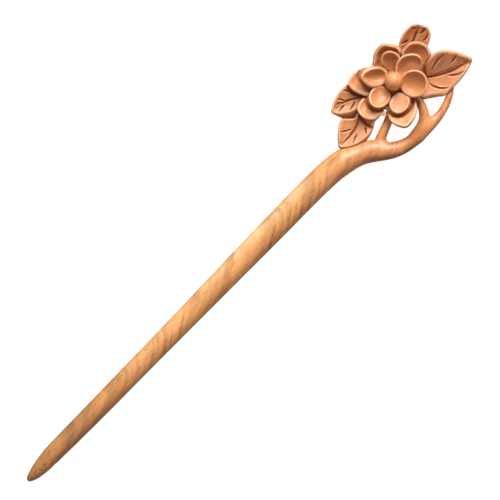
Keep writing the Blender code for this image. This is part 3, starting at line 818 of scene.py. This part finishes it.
# where a band meets y = 0 along the shaft, how dark it is and how wide
BANDS = [
    (-46.7, 0.8, 0.8), (-35.0, 0.7, 0.9), (-29.2, 1.0, 0.8), (-26.6, 0.7, 0.6), (-22.6, 1.0, 0.8),
    (-19.5, 0.6, 0.6), (-8.5, 0.5, 0.9), (11.8, 0.8, 0.9), (15.4, 1.0, 1.3), (19.4, 0.8, 0.8),
    (22.4, 0.9, 0.8), (25.0, 0.7, 0.7), (28.0, 1.0, 1.2), (31.4, 0.9, 1.1), (35.0, 0.7, 0.9),
]  # fmt: skip
# how strong the painted highlight on the +Y side is along x
LIT_SIDE_RUN = [(-60, 0.1), (-30, 0.35), (2, 0.75), (24, 0.75), (40, 0.1)]
# colour along x: darker towards the point, the carved end redder
SHAFT_TONES = [
    (-88, (0.72, 0.65, 0.57)), (-70, (0.64, 0.59, 0.54)), (-56, (0.79, 0.74, 0.70)), (-42, (1, 1, 1)),
    (28, (1, 1, 1)), (38, (0.93, 0.89, 0.84)), (50, (0.95, 0.87, 0.81)),
]  # fmt: skip
# the wood of the flower is paler on the shaft's side
CARVED_TONES = [
    (46, (1, 1.07, 1.0)), (67, (1, 1.06, 1.0)), (73, (1, 0.98, 0.92)), (80, (1, 1.0, 1.05)),
    (88, (1.02, 1.03, 1.15)),
]  # fmt: skip
SHAFT_LIGHT, SHAFT_DARK = (0.70, 0.332, 0.104), (0.24, 0.07, 0.014)
CARVED_LIGHT, CARVED_DARK = (0.61, 0.228, 0.08), (0.40, 0.11, 0.03)
# the colour of the painted highlight on rims and lips
CARVED_HIGHLIGHT = (0.79, 0.46, 0.27)


def along_pin(x):
    """The place of x along the pin, from 0 at the point to 1 at the far end."""
    return x / LENGTH + 0.5


def wood_material(name, light, dark, tones, ring_strength, roughness, polish, highlight_colour=None, banded=False):
    """Procedural wood: growth layers, fibre, pores and soft patches between a light and a dark colour.

    tones are tints along x. polish is how much the open surfaces shine, less where other surfaces are near. The
    highlight colour, when given, is that of a painted highlight on the rims and lips that a piece marks. Places near
    other surfaces, and those a piece marks for it, get a painted shade towards the crevice colour. banded adds the
    shaft's own dark bands and its specks, a painted shade on its -Y side and a painted highlight on its +Y side.
    """
    material = bpy.data.materials.new(name)
    material.use_nodes = True
    tree = material.node_tree
    nodes, links = tree.nodes, tree.links
    shader = nodes["Principled BSDF"]

    def add(kind, **settings):
        made = nodes.new(kind)
        for key, value in settings.items():
            setattr(made, key, value)
        return made

    def join(source, target):
        links.new(source, target)

    def maths(operation, a, b=None, c=None, clamp=False):
        made = add("ShaderNodeMath", operation=operation, use_clamp=clamp)
        for socket, value in zip(made.inputs, (a, b, c)):
            if value is None:
                continue
            if isinstance(value, (int, float)):
                socket.default_value = value
            else:
                join(value, socket)
        return made.outputs[0]

    def stretched(scale):
        made = add("ShaderNodeMapping")
        made.inputs["Scale"].default_value = scale
        join(coordinates.outputs["Object"], made.inputs["Vector"])
        return made.outputs["Vector"]

    def noise(vector, scale, detail, rough):
        made = add("ShaderNodeTexNoise")
        made.inputs["Scale"].default_value = scale
        made.inputs["Detail"].default_value = detail
        made.inputs["Roughness"].default_value = rough
        join(vector, made.inputs["Vector"])
        return made.outputs["Fac"]

    def ramp(value, stops, interpolation="EASE"):
        made = add("ShaderNodeValToRGB")
        made.color_ramp.interpolation = interpolation
        elements = made.color_ramp.elements
        elements.remove(elements[1])
        for number, (position, level) in enumerate(stops):
            element = elements.new(position) if number else elements[0]
            element.position = position
            element.color = (level, level, level, 1) if isinstance(level, (int, float)) else (*level, 1)
        join(value, made.inputs["Fac"])
        return made.outputs["Color"]

    def mixed(factor, a, b, blend="MIX"):
        made = add("ShaderNodeMix", data_type="RGBA", blend_type=blend)
        for socket, value in ((made.inputs[0], factor), (made.inputs[6], a), (made.inputs[7], b)):
            if isinstance(value, (int, float)):
                socket.default_value = value
            elif isinstance(value, tuple):
                socket.default_value = (*value, 1)
            else:
                join(value, socket)
        return made.outputs[2]

    coordinates = add("ShaderNodeTexCoord")
    millimetres = stretched((1000, 1000, 1000))
    warp = noise(millimetres, 0.09, 2, 0.5)
    tilt = add("ShaderNodeVectorMath", operation="DOT_PRODUCT")
    tilt.inputs[1].default_value = RING_LEAN
    join(millimetres, tilt.inputs[0])
    layer = maths("ADD", tilt.outputs["Value"], maths("MULTIPLY", warp, RING_WARP))
    wave = add("ShaderNodeTexNoise")
    wave.noise_dimensions = "1D"
    wave.inputs["Scale"].default_value = RING_PITCH
    wave.inputs["Detail"].default_value = 3
    wave.inputs["Roughness"].default_value = 0.55
    join(layer, wave.inputs["W"])
    rings = ramp(wave.outputs["Fac"], [(0.40, 1.0), (0.55, 0.35), (0.70, 0.0)])
    separate = add("ShaderNodeSeparateXYZ")
    join(millimetres, separate.inputs[0])
    place_x = maths("MULTIPLY_ADD", separate.outputs["X"], 1 / LENGTH, 0.5)
    place_y = maths("MULTIPLY_ADD", separate.outputs["Y"], 0.1, 0.6)  # across the shaft
    if banded:
        slant = maths("MULTIPLY_ADD", separate.outputs["Y"], -BAND_SLANT, separate.outputs["X"])
        slant = maths("ADD", slant, maths("MULTIPLY", maths("SUBTRACT", warp, 0.5), BAND_WANDER))
        bands = 0.0
        for group in (BANDS[:FIRST_BANDS], BANDS[FIRST_BANDS:]):
            stops = []
            for band, strength, width in group:
                middle = along_pin(band)
                stops.append((middle - BAND_LEAD * width / LENGTH, 0.0))
                stops.append((middle, strength))
                stops.append((middle + width / LENGTH, 0.0))
            slant_share = maths("MULTIPLY_ADD", slant, 1 / LENGTH, 0.5)
            bands = maths("ADD", ramp(slant_share, stops, "LINEAR"), bands)
        broken = ramp(noise(stretched((260, 700, 700)), 1.0, 3, 0.6), [(0.34, 0.45), (0.52, 1.0)])
        side = ramp(place_y, [(0.42, 1.0), (0.66, 0.25)], "LINEAR")
        bands = maths("MULTIPLY", maths("MULTIPLY", bands, side), broken)
        rings = maths("MAXIMUM", bands, maths("MULTIPLY", rings, 0.45))
    fibre = noise(stretched((90, 1900, 1900)), 1.0, 5, 0.6)
    pores = ramp(noise(stretched((450, 2600, 2600)), 1.0, 2, 0.5), [(0.33, 1.0), (0.43, 0.0)])
    cloud = noise(millimetres, 0.16, 3, 0.5)

    shade = maths("MULTIPLY", rings, ring_strength)
    shade = maths("ADD", shade, maths("MULTIPLY", maths("SUBTRACT", fibre, 0.5), FIBRE_SHARE))
    shade = maths("ADD", shade, maths("MULTIPLY", maths("SUBTRACT", cloud, 0.5), CLOUD_SHARE))
    shade = maths("ADD", shade, maths("MULTIPLY", pores, PORE_SHARE), clamp=True)
    if banded:
        specks = ramp(noise(stretched((800, 1600, 1600)), 1.0, 3, 0.6), [(0.38, 0.55), (0.45, 0.0)])
        point_end = ramp(place_x, [(0.0, 1.0), (0.16, 0.0)])
        shade = maths("ADD", shade, maths("MULTIPLY", specks, point_end), clamp=True)
    tone = ramp(place_x, [(along_pin(x), level) for x, level in tones])
    if banded:
        # painted shade: the shaft's -Y side, away from the key light, is made redder
        shaded_side = ramp(place_y, [(0.1, 0.6), (0.5, 0.0)])
        light = mixed(shaded_side, light, SHADED_SIDE_TINT)
        # painted highlight: the shaft's +Y side, towards the key light, is made paler along the middle
        lit_side = ramp(place_y, [(0.52, 0.0), (0.72, 1.0)])
        lit_side_along = ramp(place_x, [(along_pin(x), level) for x, level in LIT_SIDE_RUN])
        light = mixed(maths("MULTIPLY", lit_side, lit_side_along), light, LIT_SIDE_TINT)
    colour = mixed(1.0, mixed(shade, light, dark), tone, "MULTIPLY")
    # painted shade: the colour is darkened towards the crevice colour where other surfaces are near
    occlusion = add("ShaderNodeAmbientOcclusion", samples=6)
    occlusion.inputs["Distance"].default_value = CREVICE_SHADE_REACH
    occlusion.only_local = banded
    occluded_shade = ramp(occlusion.outputs["AO"], [(0.1, 0.75), (0.68, 0.0)])
    colour = mixed(occluded_shade, colour, CREVICE_SHADE)
    # painted highlight: the rims and lips that a piece marks are made paler
    if highlight_colour:
        ridge_highlight = add("ShaderNodeAttribute", attribute_name="ridge_highlight").outputs["Fac"]
        colour = mixed(maths("MULTIPLY", ridge_highlight, HIGHLIGHT_SHARE), colour, highlight_colour)
    # painted shade: the cuts, bowl hollows and stem sides that a piece marks are darkened towards the crevice colour
    painted_shade = add("ShaderNodeAttribute", attribute_name="painted_shade").outputs["Fac"]
    colour = mixed(maths("MULTIPLY", painted_shade, PAINTED_SHADE_SHARE), colour, CREVICE_SHADE)
    join(colour, shader.inputs["Base Color"])
    # the shine is also turned down where other surfaces are near, a painted shade on the reflections
    join(ramp(occlusion.outputs["AO"], [(0.3, 0.1), (0.95, polish)]), shader.inputs["Specular IOR Level"])

    gloss = maths("ADD", maths("MULTIPLY", cloud, 0.2), roughness - 0.1)
    gloss = maths("ADD", gloss, maths("MULTIPLY", pores, 0.15), clamp=True)
    join(gloss, shader.inputs["Roughness"])
    bump = add("ShaderNodeBump")
    bump.inputs["Strength"].default_value = 0.25
    bump.inputs["Distance"].default_value = 0.00006
    relief_level = maths("SUBTRACT", maths("MULTIPLY", fibre, 0.6), maths("MULTIPLY", pores, 0.6))
    join(relief_level, bump.inputs["Height"])
    join(bump.outputs["Normal"], shader.inputs["Normal"])
    return material


shaft_wood = wood_material(
    "shaft_wood", SHAFT_LIGHT, SHAFT_DARK, SHAFT_TONES,
    ring_strength=0.95, roughness=0.43, polish=0.65, banded=True,
)  # fmt: skip
flower_wood = wood_material(
    "flower_wood", CARVED_LIGHT, CARVED_DARK, CARVED_TONES,
    ring_strength=0.25, roughness=0.48, polish=0.65, highlight_colour=CARVED_HIGHLIGHT,
)  # fmt: skip
leaf_wood = wood_material(
    "leaf_wood", CARVED_LIGHT, CARVED_DARK, CARVED_TONES,
    ring_strength=0.35, roughness=0.48, polish=0.65, highlight_colour=CARVED_HIGHLIGHT,
)  # fmt: skip


# ---------------------------------------------------------------- assembly


def place(piece, node, material):
    piece.data.materials.clear()
    piece.data.materials.append(material)
    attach(piece, "root")
    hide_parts(node)


place(make_stem(), "stem", shaft_wood)
place(turned("boss_carved", ball, 72, 0.028, 0.4), "boss", flower_wood)
place(turned("receptacle_carved", core, 96, 0.03, 1.3), "receptacle", flower_wood)
for number, (node, shape) in enumerate({**UPPER_PETALS, **LOWER_PETALS}.items()):
    place(petal(node + "_carved", phase=number * 1.7, **shape), node, flower_wood)
for number, (node, shape) in enumerate(LEAVES.items()):
    place(leaf(node + "_carved", phase=number * 2.3, **shape), node, leaf_wood)
